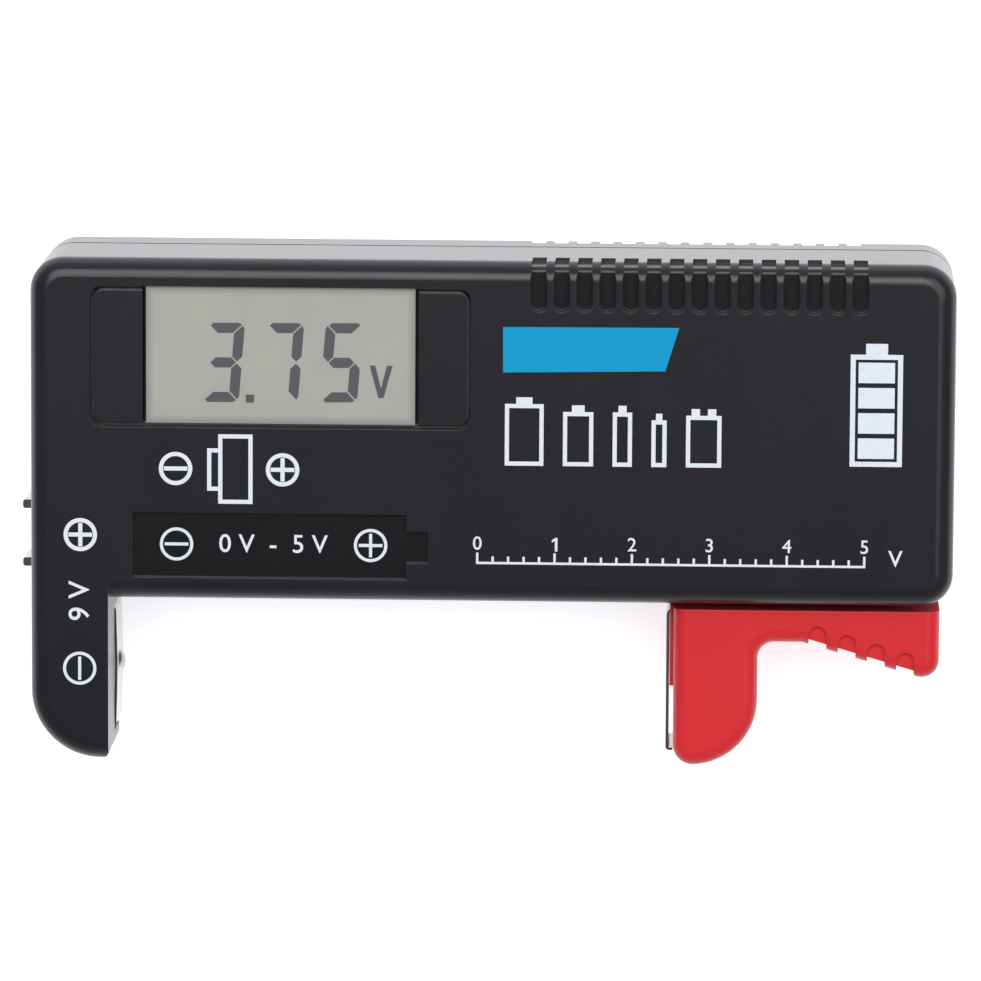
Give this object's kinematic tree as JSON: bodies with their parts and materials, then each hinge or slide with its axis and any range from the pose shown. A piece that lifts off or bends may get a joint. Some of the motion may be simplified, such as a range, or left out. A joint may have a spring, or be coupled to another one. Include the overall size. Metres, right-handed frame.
{
  "type": "battery tester",
  "caption": "Hand-held battery tester: flat black case with a digital display, a fixed contact leg and a red sliding contact arm.",
  "frame": {"origin": "centre of the case's main rectangle, on the flat rear face", "axes": "+X along the case from the fixed leg to the sliding arm's end, +Y to the grooved edge, +Z out of the display face"},
  "size_m": [0.1117, 0.0609, 0.025],
  "materials": {
    "black_plastic": "fine matte grain",
    "bezel_plastic": "satin",
    "red_plastic": "semi-gloss moulding",
    "display_glass": "anti-glare polariser",
    "rear_glass": "clear",
    "reflector_film": "satin silver-grey",
    "zebra_rubber": "striped conductive rubber",
    "circuit_board": "solder mask over glass fibre",
    "chip_resin": "glossy resin dome",
    "ferrite": "sintered",
    "resistor_body": "lacquered",
    "ceramic_chip": "ceramic",
    "steel_screw": "zinc plated",
    "nickel_contact": "nickel plated",
    "brass_rail": "bare strip",
    "red_insulation": "soft insulation",
    "black_insulation": "soft insulation"
  },
  "bodies": {
    "housing": {"front_shell": "black_plastic", "rear_shell": "black_plastic", "case_screws": "steel_screw", "display_bezel": "bezel_plastic", "lcd_front_glass": "display_glass", "lcd_rear_glass": "rear_glass", "lcd_reflector": "reflector_film", "zebra_strips": "zebra_rubber", "main_board": "circuit_board", "board_screws": "steel_screw", "voltmeter_chip": "chip_resin", "boost_coil": "ferrite", "load_resistor": "resistor_body", "chip_components": "ceramic_chip", "nine_volt_positive_contact": "nickel_contact", "nine_volt_negative_contact": "nickel_contact", "contact_rail": "brass_rail", "positive_wire": "red_insulation", "negative_wire": "black_insulation", "nine_volt_positive_wire": "red_insulation", "nine_volt_negative_wire": "black_insulation"},
    "slider": {"sliding_arm": "red_plastic", "slider_wiper": "nickel_contact"},
    "positive_leaf": {"positive_contact": "nickel_contact"},
    "negative_leaf": {"negative_contact": "nickel_contact"}
  },
  "joints": [
    {"name": "arm_slide", "type": "slide", "parent": "housing", "child": "slider", "axis": [-1, 0, 0], "range_m": [-0.001, 0.063]},
    {"name": "positive_leaf_flex", "type": "hinge", "parent": "slider", "child": "positive_leaf", "pos_m": [0.02105, -0.02219, 0.0125], "axis": [0, 0, 1], "range_deg": [0, 0.6], "stiffness_Nm_per_rad": 0.02, "springref_deg": -5.73},
    {"name": "negative_leaf_press", "type": "slide", "parent": "housing", "child": "negative_leaf", "axis": [-1, 0, 0], "range_m": [0, 0.00025], "stiffness_N_per_m": 150, "springref_m": -0.001}
  ]
}
